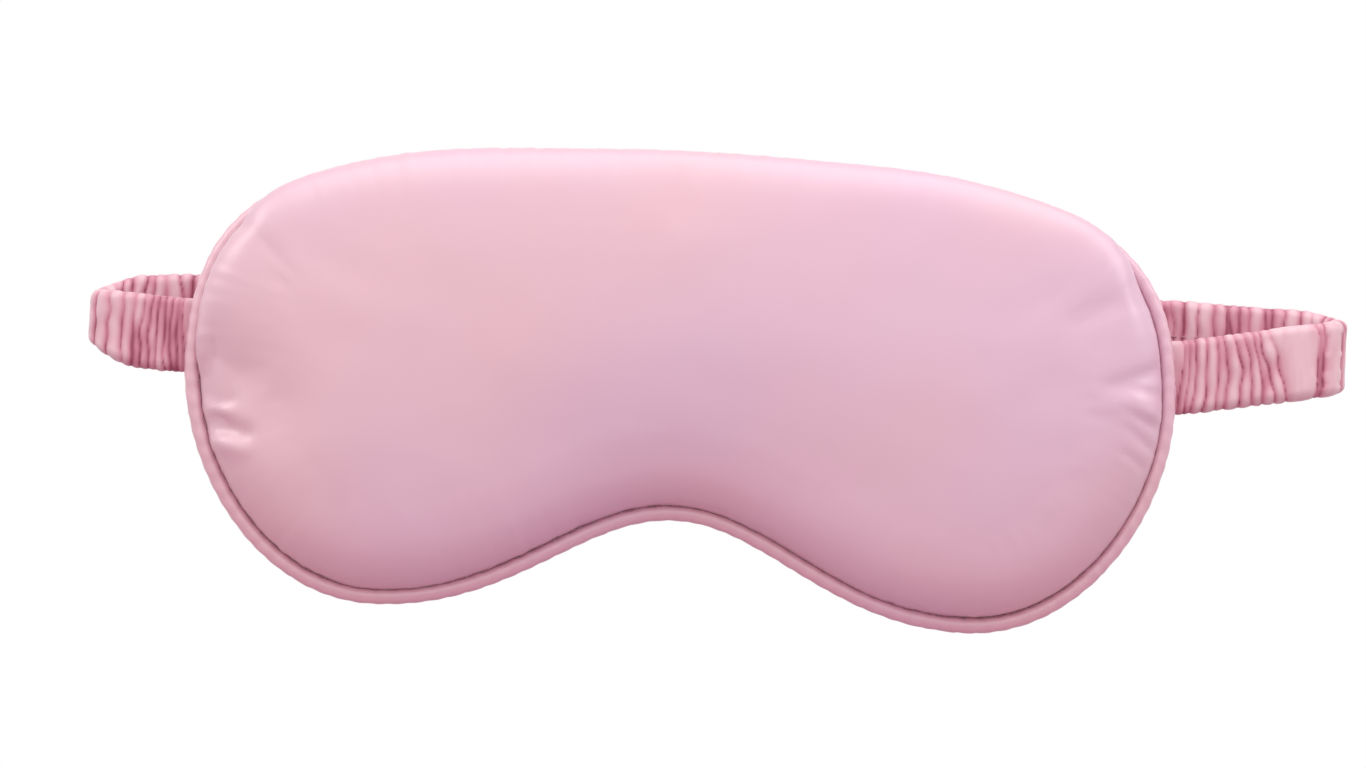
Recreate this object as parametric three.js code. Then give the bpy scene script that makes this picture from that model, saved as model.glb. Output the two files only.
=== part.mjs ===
// Padded satin sleep mask: two satin panels over wadding and a blackout liner, a piped edge
// all round, and one gathered elastic head strap that loops behind the mask.
// Millimetres. The mask stands as it is worn: +Z up, its front faces -Y, and the origin is the
// middle of the flat face side, where the wearer's face holds it. Right means +X.
import * as THREE from "three";

// ---- Mask outline ----
const MASK_WIDTH = 208;
const MASK_HEIGHT = 98.3;
const NOSE_NOTCH_DEPTH = 20.5; // top of the notch above the lowest points of the lobes
const LOBE_SPACING = 124; // between the lowest points of the two lobes
const WIDEST_HEIGHT = 0.7; // the widest points, above the middle of the height
const OUTLINE_STEPS = 32; // along one half of the outline

// How far each end of an outline curve keeps its direction, as a share of the curve's span.
const TOP_FULLNESS = 0.777;
const SHOULDER_FULLNESS = 0.792;
const CHEEK_FULLNESS = 0.482;
const LOBE_OUTER_FULLNESS = 0.571;
const LOBE_INNER_FULLNESS = 0.47;
const NOSE_FULLNESS = 0.31;

// ---- Layers ----
const CLEARANCE = 0.3; // between neighbouring pieces
const FRONT_PUFF = 9.5; // front of the mask, in front of the seam plane
const BACK_PUFF = 6; // face side, behind the seam plane
const EDGE_ROUND = 14; // width of the rounded border of both panels
const DOME_STEPS = 4;
const PANEL_THICKNESS = 0.5;
const SEAM_ALLOWANCE = 2.5; // panel edge turned in along the seam
const LINER_THICKNESS = 0.4;

// ---- Piping and threads ----
const PIPING_DIAMETER = 3.2;
const PIPING_CLOTH = 0.35;
const PIPING_CORD_DIAMETER = 1.7;
const PIPING_TAIL = 3; // flat double edge of the piping, inside the seam
const THREAD_DIAMETER = 0.44;
const TURNING_GAP = 52; // longest run closed by hand, at the top of the face side

// ---- Head strap ----
const STRAP_WIDTH = 16.4;
const STRAP_THICKNESS = 3.6; // gathered cover, slack
const STRAP_END_THICKNESS = 2.2; // pressed flat in the seam
const STRAP_END_TAPER = 5; // from the mask's edge to full thickness
const STRAP_CLOTH = 0.4;
const STRAP_CORNER_RADIUS = 0.9;
const ELASTIC_WIDTH = 15;
const ELASTIC_THICKNESS = 0.8;
const STRAP_STANDOFF = 10; // face side of the mask to the middle of the band behind it
// Each side's loop: how far it reaches beyond the mask's edge, and the height of the band's middle
// where it is sewn in, at the front and back of its fold, and behind the mask's edge.
const RIGHT_LOOP = { side: 1, reach: 36.4, sewn: 7, foldFront: 12, foldBack: 15.3, behind: 16 };
const LEFT_LOOP = { side: -1, reach: 20.6, sewn: 6, foldFront: 6.9, foldBack: 9.6, behind: 11.4 };
const FRONT_STEPS = 3; // along the band in front of a fold
const BAND_STEPS = 8;
const FOLD_STEPS = 6;

// Steps round the small sections
const PIPING_STEPS = 8;
const CORD_STEPS = 6;
const THREAD_STEPS = 6;
const CORNER_STEPS = 2;

// ---- Places worked out from the sizes ----
const halfWidth = MASK_WIDTH / 2;
const halfHeight = MASK_HEIGHT / 2;
const seamY = -BACK_PUFF;
const pipingRadius = PIPING_DIAMETER / 2;
const threadRadius = THREAD_DIAMETER / 2;
const tailHalf = CLEARANCE / 2 + PIPING_CLOTH; // half of the piping's double edge
const tailEnd = PIPING_DIAMETER + PIPING_TAIL;
const panelBase = tailHalf + CLEARANCE; // seam plane to a panel's turned-in edge
const threadInset = PIPING_DIAMETER + threadRadius;
const threadDepth = panelBase + threadRadius;
const panelInset = threadInset + threadRadius + CLEARANCE;
const domeCentre = panelInset + EDGE_ROUND; // where a panel's border meets its flat middle
const flangeEnd = panelInset + SEAM_ALLOWANCE;
const fillingInset = Math.max(flangeEnd, tailEnd) + CLEARANCE;
const strapFront = pipingRadius + CLEARANCE; // seam plane to the front of the sewn strap
const strapPocket = strapFront + STRAP_END_THICKNESS + CLEARANCE; // room for the sewn ends
const frontBandY = seamY + strapFront + STRAP_THICKNESS / 2;

// ---- Materials ----
const cloth = (color, roughness) => new THREE.MeshStandardMaterial({ color, roughness });
const pinkSatin = cloth("#e6b9c8", 0.35);
const strapSatin = cloth("#e1a0af", 0.4);
const roseThread = cloth("#a86478", 0.7);
const wadding = cloth("#f4f1ee", 0.95);
const blackoutCloth = cloth("#26242a", 0.9);
const cottonCord = cloth("#efe6e2", 0.9);
const knittedElastic = cloth("#f3ecec", 0.8);

// ---- Lofted surfaces ----

// Signed volume of an indexed surface, negative when its faces point inwards.
function signedVolume(points, index) {
  let volume = 0;
  for (let i = 0; i < index.length; i += 3) {
    const [a, b, c] = index.slice(i, i + 3).map((k) => points[k]);
    volume += a.dot(new THREE.Vector3().crossVectors(b, c)) / 6;
  }
  return volume;
}

// Triangles that fill one flat ring, all turned the way that the ring runs.
function fillRing(ring) {
  const size = ring.length;
  const normal = new THREE.Vector3();
  const cross = (p, q) => new THREE.Vector3().crossVectors(p, q);
  ring.forEach((p, i) => normal.add(cross(p, ring[(i + 1) % size])));
  const level = new THREE.Quaternion();
  level.setFromUnitVectors(normal.normalize(), new THREE.Vector3(0, 0, 1));
  const flat = ring.map((p) => p.clone().applyQuaternion(level));
  const faces = THREE.ShapeUtils.triangulateShape(flat.map((p) => new THREE.Vector2(p.x, p.y)), []);
  const steps = (from, to) => (to - from + size) % size;
  const runsWithRing = ([a, b, c]) => steps(a, b) + steps(b, c) + steps(c, a) === size;
  return faces.map((face) => (runsWithRing(face) ? face : face.toReversed()));
}

// One closed surface through rings of equal numbers of points. A wrapped loft joins its last
// ring to its first; any other is capped at both ends.
function loft(rings, wrapped) {
  const size = rings[0].length;
  const points = rings.flat();
  const index = [];
  const bands = wrapped ? rings.length : rings.length - 1;
  for (let band = 0; band < bands; band += 1) {
    const here = band * size;
    const next = ((band + 1) % rings.length) * size;
    for (let i = 0; i < size; i += 1) {
      const j = (i + 1) % size;
      index.push(here + i, here + j, next + j);
      index.push(here + i, next + j, next + i);
    }
  }
  if (!wrapped) {
    const last = points.length - size;
    for (const face of fillRing(rings[0])) index.push(...face.toReversed());
    for (const face of fillRing(rings.at(-1))) index.push(...face.map((k) => k + last));
  }
  if (signedVolume(points, index) < 0) index.reverse();
  const geometry = new THREE.BufferGeometry().setFromPoints(points);
  geometry.setIndex(index);
  geometry.computeVertexNormals();
  return geometry;
}

const circle = (steps) => Array.from({ length: steps }, (_, k) => (2 * Math.PI * k) / steps);

// ---- Outline of the mask, clockwise from the top as seen from the front ----

function outlinePoints() {
  const lobe = LOBE_SPACING / 2;
  const notch = NOSE_NOTCH_DEPTH - halfHeight;
  const shoulder = WIDEST_HEIGHT + SHOULDER_FULLNESS * (halfHeight - WIDEST_HEIGHT);
  const cheek = WIDEST_HEIGHT - CHEEK_FULLNESS * (halfHeight + WIDEST_HEIGHT);
  const lobeOuter = lobe + LOBE_OUTER_FULLNESS * (halfWidth - lobe);
  const lobeInner = lobe * (1 - LOBE_INNER_FULLNESS);
  const half = new THREE.Path().moveTo(0, halfHeight);
  half.bezierCurveTo(TOP_FULLNESS * halfWidth, halfHeight, halfWidth, shoulder, halfWidth, WIDEST_HEIGHT);
  half.bezierCurveTo(halfWidth, cheek, lobeOuter, -halfHeight, lobe, -halfHeight);
  half.bezierCurveTo(lobeInner, -halfHeight, NOSE_FULLNESS * lobe, notch, 0, notch);
  const right = half.getSpacedPoints(OUTLINE_STEPS);
  const left = right.slice(1, -1).toReversed().map((p) => new THREE.Vector2(-p.x, p.y));
  const points = [...right, ...left];
  return points.map((p, i) => {
    const along = points[(i + 1) % points.length].clone().sub(points.at(i - 1)).normalize();
    return { x: p.x, z: p.y, outward: new THREE.Vector2(-along.y, along.x) };
  });
}

const outline = outlinePoints();

// The outline moved inwards by inset and placed behind the seam plane by behind(point).
function ringPoint(p, inset, behind) {
  return new THREE.Vector3(p.x - inset * p.outward.x, seamY + behind, p.z - inset * p.outward.y);
}

const ring = (inset, behind) => outline.map((p) => ringPoint(p, inset, behind(p)));
const flatRing = (inset, behind) => ring(inset, () => behind);

// ---- Panels, wadding and liner: side is -1 in front of the seam plane and 1 behind it ----

// Depth that the sewn strap ends add under the edge of the face-side panel, near the strap.
function pocketDepth(p) {
  const spacing = outline[1].x - outline[0].x;
  const reach = STRAP_WIDTH / 2 + CLEARANCE + spacing;
  const { sewn } = p.x > 0 ? RIGHT_LOOP : LEFT_LOOP;
  const away = Math.abs(p.z - sewn) - reach;
  const atSide = Math.abs(p.x) > LOBE_SPACING / 2;
  return atSide ? (strapPocket - panelBase) * (1 - THREE.MathUtils.smoothstep(away, 0, spacing)) : 0;
}

// Rings of a quarter-round border from angle start, at the edge, to the flat middle.
function dome(side, puff, shrink, rim, start) {
  return Array.from({ length: DOME_STEPS + 1 }, (_, k) => {
    const angle = THREE.MathUtils.lerp(start, Math.PI / 2, k / DOME_STEPS);
    const inset = domeCentre - (EDGE_ROUND - shrink) * Math.cos(angle);
    return ring(inset, (p) => side * (rim(p) + (puff - shrink - rim(p)) * Math.sin(angle)));
  });
}

function panel(side, puff, pocket) {
  const base = (p) => panelBase + pocket(p);
  const rim = (p) => base(p) + PANEL_THICKNESS;
  return loft([
    ...dome(side, puff, 0, rim, 0).toReversed(),
    ring(panelInset, (p) => side * base(p)),
    ring(flangeEnd, (p) => side * base(p)),
    ring(flangeEnd, (p) => side * rim(p)),
    ...dome(side, puff, PANEL_THICKNESS, rim, 0),
  ], false);
}

function filling(side, puff) {
  const shrink = PANEL_THICKNESS + CLEARANCE;
  const start = Math.acos((domeCentre - fillingInset) / (EDGE_ROUND - shrink));
  const rim = () => panelBase + PANEL_THICKNESS;
  const inner = side * (LINER_THICKNESS / 2 + CLEARANCE);
  return loft([flatRing(fillingInset, inner), ...dome(side, puff, shrink, rim, start)], false);
}

function liner() {
  const half = LINER_THICKNESS / 2;
  return loft([flatRing(fillingInset, -half), flatRing(fillingInset, half)], false);
}

// ---- Piping and threads ----

// Section of the folded piping cloth round its cord, with its two flat tails side by side.
function pipingSection() {
  const arc = (radius, gapHalf, steps) => Array.from({ length: steps + 1 }, (_, k) => {
    const open = Math.PI - Math.asin(gapHalf / radius);
    const angle = THREE.MathUtils.lerp(open, -open, k / steps);
    return [pipingRadius - radius * Math.cos(angle), radius * Math.sin(angle)];
  });
  const slit = CLEARANCE / 2;
  return [
    [tailEnd, tailHalf],
    ...arc(pipingRadius, tailHalf, PIPING_STEPS),
    [tailEnd, -tailHalf],
    [tailEnd, -slit],
    ...arc(pipingRadius - PIPING_CLOTH, slit, PIPING_STEPS - 1).toReversed(),
    [tailEnd, slit],
  ];
}

function roundEdge(inset, behind, radius, steps) {
  const rings = circle(steps).map((a) =>
    flatRing(inset + radius * Math.cos(a), behind + radius * Math.sin(a)));
  return loft(rings, true);
}

const pipingCord = () => roundEdge(pipingRadius, 0, PIPING_CORD_DIAMETER / 2, CORD_STEPS);
const edgeSeamThread = () => roundEdge(threadInset, -threadDepth, threadRadius, THREAD_STEPS);

// Thread that closes the turning gap, in the groove behind the piping.
function turningGapStitch() {
  const run = outline.filter((p) => p.z > 0 && Math.abs(p.x) <= TURNING_GAP / 2);
  run.sort((a, b) => a.x - b.x);
  const section = circle(THREAD_STEPS).map((a) => [Math.cos(a), Math.sin(a)]);
  const rings = run.map((p) => section.map(([u, v]) =>
    ringPoint(p, threadInset + threadRadius * u, threadDepth + threadRadius * v)));
  return loft(rings, false);
}

// ---- Head strap ----

// Centreline of one half, from its sewn end round its fold to the middle of the back band.
function strapHalf({ side, reach, sewn, foldFront, foldBack, behind }) {
  const foldRadius = (STRAP_STANDOFF - frontBandY) / 2;
  const foldX = halfWidth + reach - STRAP_THICKNESS / 2 - foldRadius;
  const bandStart = halfWidth + STRAP_END_TAPER;
  const endY = seamY + strapFront + STRAP_END_THICKNESS / 2;
  const middle = (RIGHT_LOOP.behind + LEFT_LOOP.behind) / 2;
  const { lerp, inverseLerp } = THREE.MathUtils;
  const past = (x) => inverseLerp(halfWidth, foldX, x);
  const stations = [];
  const add = (x, y, z, thickness = STRAP_THICKNESS) => {
    stations.push({ at: new THREE.Vector3(side * x, y, z), thickness });
  };
  add(halfWidth - tailEnd, endY, sewn, STRAP_END_THICKNESS);
  add(halfWidth, endY, sewn, STRAP_END_THICKNESS);
  for (let k = 0; k < FRONT_STEPS; k += 1) {
    const x = lerp(bandStart, foldX, k / FRONT_STEPS);
    add(x, frontBandY, lerp(sewn, foldFront, past(x)));
  }
  for (let k = 0; k <= FOLD_STEPS; k += 1) {
    const angle = (Math.PI * k) / FOLD_STEPS;
    const y = lerp(frontBandY, STRAP_STANDOFF, (1 - Math.cos(angle)) / 2);
    add(foldX + foldRadius * Math.sin(angle), y, lerp(foldFront, foldBack, k / FOLD_STEPS));
  }
  for (let k = 1; k <= BAND_STEPS; k += 1) {
    const x = lerp(foldX, 0, k / BAND_STEPS);
    const z = x > halfWidth ? lerp(behind, foldBack, past(x)) : lerp(middle, behind, x / halfWidth);
    add(x, STRAP_STANDOFF, z);
  }
  return stations;
}

// Stations along the whole strap, each with its across direction and its outward direction.
function strapStations() {
  const stations = [...strapHalf(RIGHT_LOOP), ...strapHalf(LEFT_LOOP).toReversed().slice(1)];
  return stations.map((station, i) => {
    const before = stations[Math.max(i - 1, 0)].at;
    const after = stations[Math.min(i + 1, stations.length - 1)].at;
    const along = after.clone().sub(before).normalize();
    const outward = along.clone().cross(new THREE.Vector3(0, 0, 1)).normalize();
    return { ...station, outward, across: outward.clone().cross(along) };
  });
}

const strapPath = strapStations();

function place({ at, across, outward }, u, v) {
  return at.clone().addScaledVector(across, u).addScaledVector(outward, v);
}

// Corner points of a flat band's section, rounded in steps.
function bandSection(width, thickness, radius, steps) {
  const corners = [[1, 1], [-1, 1], [-1, -1], [1, -1]];
  return corners.flatMap(([sx, sy], corner) => Array.from({ length: steps + 1 }, (_, k) => {
    const angle = (Math.PI / 2) * (corner + (steps ? k / steps : 0));
    const u = sx * (width / 2 - radius) + radius * Math.cos(angle);
    return [u, sy * (thickness / 2 - radius) + radius * Math.sin(angle)];
  }));
}

function strapRing(station, shrink) {
  const width = STRAP_WIDTH - 2 * shrink;
  const thickness = station.thickness - 2 * shrink;
  const section = bandSection(width, thickness, STRAP_CORNER_RADIUS - shrink, CORNER_STEPS);
  return section.map(([u, v]) => place(station, u, v));
}

function strapCover() {
  const outer = strapPath.map((station) => strapRing(station, 0));
  const inner = strapPath.map((station) => strapRing(station, STRAP_CLOTH));
  return loft([...outer, ...inner.toReversed()], true);
}

function strapElastic() {
  const section = bandSection(ELASTIC_WIDTH, ELASTIC_THICKNESS, 0, 0);
  return loft(strapPath.map((station) => section.map(([u, v]) => place(station, u, v))), false);
}

// Thread of the cover's long seam, along the face that lies against the wearer's head.
function strapCoverSeam() {
  const free = strapPath.filter(({ at }) => at.y > frontBandY - CLEARANCE);
  const section = circle(THREAD_STEPS).map((a) => [Math.cos(a), Math.sin(a)]);
  return loft(free.map((station) => {
    const off = station.thickness / 2 + CLEARANCE + threadRadius;
    return section.map(([u, v]) => place(station, threadRadius * u, threadRadius * v - off));
  }), false);
}

// ---- Assembly ----

const mask = new THREE.Group();
const strap = new THREE.Group();
const sleepMask = new THREE.Group();
sleepMask.add(mask, strap);

function addPiece(group, name, geometry, material) {
  const mesh = new THREE.Mesh(geometry, material);
  mesh.name = name;
  group.add(mesh);
}

const noPocket = () => 0;
const pipingRings = pipingSection().map(([inset, behind]) => flatRing(inset, behind));
addPiece(mask, "front_panel", panel(-1, FRONT_PUFF, noPocket), pinkSatin);
addPiece(mask, "front_wadding", filling(-1, FRONT_PUFF), wadding);
addPiece(mask, "blackout_liner", liner(), blackoutCloth);
addPiece(mask, "back_wadding", filling(1, BACK_PUFF), wadding);
addPiece(mask, "back_panel", panel(1, BACK_PUFF, pocketDepth), pinkSatin);
addPiece(mask, "piping_cover", loft(pipingRings, true), pinkSatin);
addPiece(mask, "piping_cord", pipingCord(), cottonCord);
addPiece(mask, "edge_seam_thread", edgeSeamThread(), roseThread);
addPiece(mask, "turning_gap_stitch", turningGapStitch(), roseThread);
addPiece(strap, "strap_cover", strapCover(), strapSatin);
addPiece(strap, "strap_elastic", strapElastic(), knittedElastic);
addPiece(strap, "strap_cover_seam", strapCoverSeam(), roseThread);

export default sleepMask;
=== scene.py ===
"""Padded satin sleep mask with a piped edge and a gathered elastic head strap.

Metres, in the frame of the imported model: +Z up, the front of the mask faces -Y, and the strap
lies behind it. Right means +X.
"""
import bpy
import math
import numpy as np
from mathutils import Matrix, Vector, noise
from mathutils.geometry import delaunay_2d_cdt, interpolate_bezier


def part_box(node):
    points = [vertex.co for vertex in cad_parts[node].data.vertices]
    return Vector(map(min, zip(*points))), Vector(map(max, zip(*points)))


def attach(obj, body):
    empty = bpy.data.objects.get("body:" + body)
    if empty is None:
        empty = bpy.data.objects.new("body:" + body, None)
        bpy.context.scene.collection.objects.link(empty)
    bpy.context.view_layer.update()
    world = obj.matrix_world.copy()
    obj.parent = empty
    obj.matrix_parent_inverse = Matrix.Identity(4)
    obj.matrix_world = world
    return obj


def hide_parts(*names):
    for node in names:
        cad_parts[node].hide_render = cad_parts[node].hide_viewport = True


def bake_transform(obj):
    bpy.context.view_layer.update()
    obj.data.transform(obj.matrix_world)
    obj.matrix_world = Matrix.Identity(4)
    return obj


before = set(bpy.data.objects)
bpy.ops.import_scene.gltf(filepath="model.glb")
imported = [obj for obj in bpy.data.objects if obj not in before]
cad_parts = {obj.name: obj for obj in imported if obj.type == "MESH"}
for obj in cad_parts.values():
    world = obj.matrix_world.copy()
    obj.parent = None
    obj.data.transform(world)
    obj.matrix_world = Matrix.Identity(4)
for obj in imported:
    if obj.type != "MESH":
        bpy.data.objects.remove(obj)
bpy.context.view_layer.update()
MM = 0.001

# ---- Sizes from the frame ----
piping_low, piping_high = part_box("piping_cover")
cord_low, cord_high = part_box("piping_cord")
strap_low, strap_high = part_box("strap_cover")
front_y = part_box("front_panel")[0].y
face_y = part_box("back_panel")[1].y
half_width = (piping_high.x - piping_low.x) / 2
half_height = (piping_high.z - piping_low.z) / 2
seam_y = (cord_low.y + cord_high.y) / 2
piping_radius = (piping_high.y - piping_low.y) / 2
front_puff = seam_y - front_y
back_puff = face_y - seam_y

# ---- Outline ----
NOTCH_DEPTH = 20.5 * MM  # top of the nose notch above the lowest points of the lobes
LOBE_SPACING = 124 * MM  # between the lowest points of the two lobes
WIDEST_HEIGHT = 0.7 * MM  # the widest points, above the middle of the height
CURVE_STEPS = 200
EDGE_POINTS = 288

# ---- Padded panels ----
SATIN_THICKNESS = 0.4 * MM
TURNING_GAP = 52 * MM  # part of the top that is closed by hand
SEAM_INSET = 3.1 * MM  # the seam, inwards from the piped edge
BORDER_RINGS = 9
BORDER_WIDTH = 14 * MM
RIM_DEPTH = 0.7 * MM  # depth of a panel at its seam
PUFF_REACH = 22 * MM  # from the seam inwards to the full depth
CROWN_REACH = 17 * MM
FRONT_CROWN, BACK_CROWN = 1.7 * MM, 0.9 * MM  # further depth of a panel's middle
TOP_OVERHANG, LEFT_OVERHANG = 4.0 * MM, 1.9 * MM  # bulge of the front over its seam
LEAST_OVERHANG, BACK_OVERHANG = 0.3 * MM, 0.8 * MM
STILL_BORDER, SOFT_BORDER = 8 * MM, 10 * MM  # not smoothed, and then smoothed more and more
CLOTH_FRAMES = 20
FRONT_ROOM, BACK_ROOM = 0.4 * MM, 0.2 * MM  # left for the cloth to swell into
FRONT_SWELL, BACK_SWELL = 1.0 * MM, 0.9 * MM  # most that the inflated cloth may travel
PIPING_GAP = 0.12 * MM
FILLING_GAP = 0.5 * MM
FILLING_EDGE = 3.6 * MM
FILLING_ROUND = 14 * MM
SLACK = 0.7  # depth of a filling, as a share of its panel's

# ---- Piping ----
TAIL_INSET = 6.2 * MM  # inner end of everything that is sewn into the seam
TAIL_BEND = 4.2 * MM
TAIL_THICKNESS = 0.44 * MM
TAIL_OPENING = math.radians(22)  # half the part of the tube that its tail takes
RIPPLE_PITCH, RIPPLE_HEIGHT = 4.1 * MM, 0.07 * MM

# ---- Strap ----
STRAP_WIDTH = 16.4 * MM
STRAP_THICKNESS = 3.6 * MM
STRAP_END_THICKNESS = 2.0 * MM
STRAP_CLEARANCE = 0.3 * MM  # behind the piping
SEAM_EASE = 6 * MM  # from the pressed end to the full band
BAND_EASE = 4 * MM  # over which the band's bends are smoothed
STRAP_STEP = 0.36 * MM
STRAP_EDGE = 1.5 * MM  # how much of each edge is rounded
GATHER_ROOM = 0.45 * MM  # kept free on each side for the gathers
FOLD_LEAST, FOLD_MOST = 1.5 * MM, 3.9 * MM  # between neighbouring creases
FOLD_HEIGHT = 0.8 * MM
FOLD_SWAY = 0.6 * MM  # how far a crease wanders
FINE_HEIGHT = 0.13 * MM
COVER_CLOTH = 0.3 * MM
ELASTIC_WIDTH, ELASTIC_THICKNESS, ELASTIC_STEP = 12.5 * MM, 0.8 * MM, 1.5 * MM

# heights: middle of the band where it is sewn, at both ends of its fold, behind the mask's edge.
# round, narrow, lift: at the fold, the length over which the band loses that share of its width
# and moves up that far.
RIGHT_LOOP = {
    "side": 1, "reach": strap_high.x, "heights": (7 * MM, 12 * MM, 16.6 * MM, 17.4 * MM),
    "round": 4 * MM, "narrow": 0.10, "lift": 0,
}
LEFT_LOOP = {
    "side": -1, "reach": -strap_low.x, "heights": (5.6 * MM, 6.3 * MM, 11.6 * MM, 12.4 * MM),
    "round": 12 * MM, "narrow": 0.62, "lift": 1.2 * MM,
}


# ---- Camera, floor and light ----

VIEW_DISTANCE = 1.272
VIEW_ELEVATION = math.radians(-7)
VIEW_AZIMUTH = math.radians(-1)
VIEW_ROLL = math.radians(2.75)
VIEW_TARGET = Vector((0.0005, seam_y, 0.0002))
LENS = 160
FLOOR_SIZE = 20
FLOOR_HEIGHT = -0.32


def make_camera():
    back = Vector((
        math.sin(VIEW_AZIMUTH) * math.cos(VIEW_ELEVATION),
        -math.cos(VIEW_AZIMUTH) * math.cos(VIEW_ELEVATION),
        math.sin(VIEW_ELEVATION),
    ))
    lens = bpy.data.cameras.new("studio_camera")
    lens.lens = LENS
    lens.clip_start = 0.01
    camera = bpy.data.objects.new("studio_camera", lens)
    bpy.context.scene.collection.objects.link(camera)
    camera.location = VIEW_TARGET + back * VIEW_DISTANCE
    turn = (-back).to_track_quat("-Z", "Y").to_matrix().to_4x4()
    camera.rotation_euler = (turn @ Matrix.Rotation(VIEW_ROLL, 4, "Z")).to_euler()
    bpy.context.scene.camera = camera


def srgb(text):
    """Linear colour of an sRGB hex value."""
    parts = [int(text[i:i + 2], 16) / 255 for i in (1, 3, 5)]
    return tuple(c / 12.92 if c <= 0.04045 else ((c + 0.055) / 1.055) ** 2.4 for c in parts) + (1,)


def add_node(tree, kind, settings=None, inputs=None, links=None):
    """One shader node with its settings, its input values and its links from other sockets."""
    node = tree.nodes.new(kind)
    for key, value in (settings or {}).items():
        setattr(node, key, value)
    for key, value in (inputs or {}).items():
        node.inputs[key].default_value = value
    for key, socket in (links or {}).items():
        tree.links.new(socket, node.inputs[key])
    return node


def add_ramp(tree, source, stops):
    """Colour ramp through (position, colour) stops."""
    ramp = add_node(tree, "ShaderNodeValToRGB", links={"Fac": source})
    elements = ramp.color_ramp.elements
    while len(elements) < len(stops):
        elements.new(0.5)
    for element, (position, colour) in zip(elements, stops):
        element.position = position
        element.color = colour
    return ramp


def softbox(name, place, aim, size, power):
    """White rectangular light of a power in watts, turned towards aim."""
    lamp = bpy.data.lights.new(name, "AREA")
    lamp.shape = "RECTANGLE"
    lamp.size, lamp.size_y = size
    lamp.energy = power
    box = bpy.data.objects.new(name, lamp)
    box.location = place
    box.rotation_euler = (Vector(aim) - Vector(place)).to_track_quat("-Z", "Y").to_euler()
    bpy.context.scene.collection.objects.link(box)


def matt_card(name, colour, roughness):
    """Plain card for the floor and the flag."""
    card = bpy.data.materials.new(name)
    card.use_nodes = True
    shader = card.node_tree.nodes["Principled BSDF"]
    shader.inputs["Base Color"].default_value = srgb(colour)
    shader.inputs["Roughness"].default_value = roughness
    return card


def make_flag():
    """Dark card under the mask that keeps the floor's light off its lower edges. It isn't seen."""
    bpy.ops.mesh.primitive_plane_add(size=1, location=(0, -0.08, -0.11))
    flag = bpy.context.object
    flag.name = "studio_flag"
    flag.scale = (0.6, 0.40, 1)
    flag.data.materials.append(matt_card("dark_rose_card", "#B894A2", 0.95))
    flag.visible_camera = False
    flag.visible_shadow = False


def make_studio():
    """White surroundings, a pale floor and four softboxes."""
    world = bpy.data.worlds.new("white_studio")
    bpy.context.scene.world = world
    world.use_nodes = True
    tree = world.node_tree
    tree.nodes.clear()
    direction = add_node(tree, "ShaderNodeTexCoord")
    split = add_node(tree, "ShaderNodeSeparateXYZ", links={"Vector": direction.outputs["Generated"]})
    white, dim, low = (1, 1, 1, 1), (0.85, 0.85, 0.85, 1), (0.62, 0.60, 0.60, 1)
    stops = [(0.0, low), (0.04, white), (0.30, white), (0.55, dim), (1.0, dim)]
    sky = add_ramp(tree, split.outputs["Z"], stops)
    light = add_node(tree, "ShaderNodeBackground", links={"Color": sky.outputs["Color"]})
    add_node(tree, "ShaderNodeOutputWorld", links={"Surface": light.outputs["Background"]})
    bpy.ops.mesh.primitive_plane_add(size=FLOOR_SIZE, location=(0, 0, FLOOR_HEIGHT))
    floor = bpy.context.object
    floor.name = "studio_floor"
    floor.data.materials.append(matt_card("pale_studio_paper", "#D8D4D4", 0.9))
    make_flag()
    softbox("overhead_softbox", (0.05, -0.22, 0.55), (0, 0, 0), size=(0.8, 0.34), power=1.8)
    softbox("front_softbox", (0, -0.90, 0.25), (0, 0, 0), size=(0.9, 0.3), power=0.4)
    softbox("left_softbox", (-0.50, -0.20, 0.36), (-0.09, 0, 0.02), size=(0.25, 0.25), power=0.6)
    softbox("right_softbox", (0.50, -0.20, 0.36), (0.09, 0, 0.02), size=(0.25, 0.25), power=0.5)
    bpy.context.scene.view_settings.view_transform = "Standard"


# ---- Outline of the mask ----

def even_points(points, count):
    """count + 1 points, evenly spaced along a line of points."""
    points = np.array(points)
    steps = np.linalg.norm(np.diff(points, axis=0), axis=1)
    along = np.concatenate([[0], np.cumsum(steps)])
    places = np.linspace(0, along[-1], count + 1)
    return np.stack([np.interp(places, along, points[:, k]) for k in range(points.shape[1])], axis=1)


def mask_outline(count):
    """Points (x, z) of the piped edge and their outward directions, clockwise from the top."""
    # A knot is a Bezier curve: its start, its two handles and its end, for the right half.
    lobe = LOBE_SPACING / 2
    notch = NOTCH_DEPTH - half_height
    rise, fall = half_height - WIDEST_HEIGHT, half_height + WIDEST_HEIGHT
    knots = [
        ((0, half_height), (0.777 * half_width, half_height),
         (half_width, WIDEST_HEIGHT + 0.792 * rise), (half_width, WIDEST_HEIGHT)),
        ((half_width, WIDEST_HEIGHT), (half_width, WIDEST_HEIGHT - 0.482 * fall),
         (lobe + 0.571 * (half_width - lobe), -half_height), (lobe, -half_height)),
        ((lobe, -half_height), (0.53 * lobe, -half_height), (0.31 * lobe, notch), (0, notch)),
    ]
    fine = []
    for a, b, c, d in knots:
        curve = interpolate_bezier(*(Vector((p[0], p[1], 0)) for p in (a, b, c, d)), CURVE_STEPS)
        fine += [(p.x, p.y) for p in (curve if not fine else curve[1:])]
    right = even_points(fine, count // 2)
    left = right[-2:0:-1] * [-1, 1]
    points = np.concatenate([right, left])
    along = np.roll(points, -1, axis=0) - np.roll(points, 1, axis=0)
    along /= np.linalg.norm(along, axis=1)[:, None]
    return points, np.stack([-along[:, 1], along[:, 0]], axis=1)


edge, outward = mask_outline(EDGE_POINTS)
edge_step = np.linalg.norm(np.roll(edge, -1, axis=0) - edge, axis=1).mean()


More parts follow.
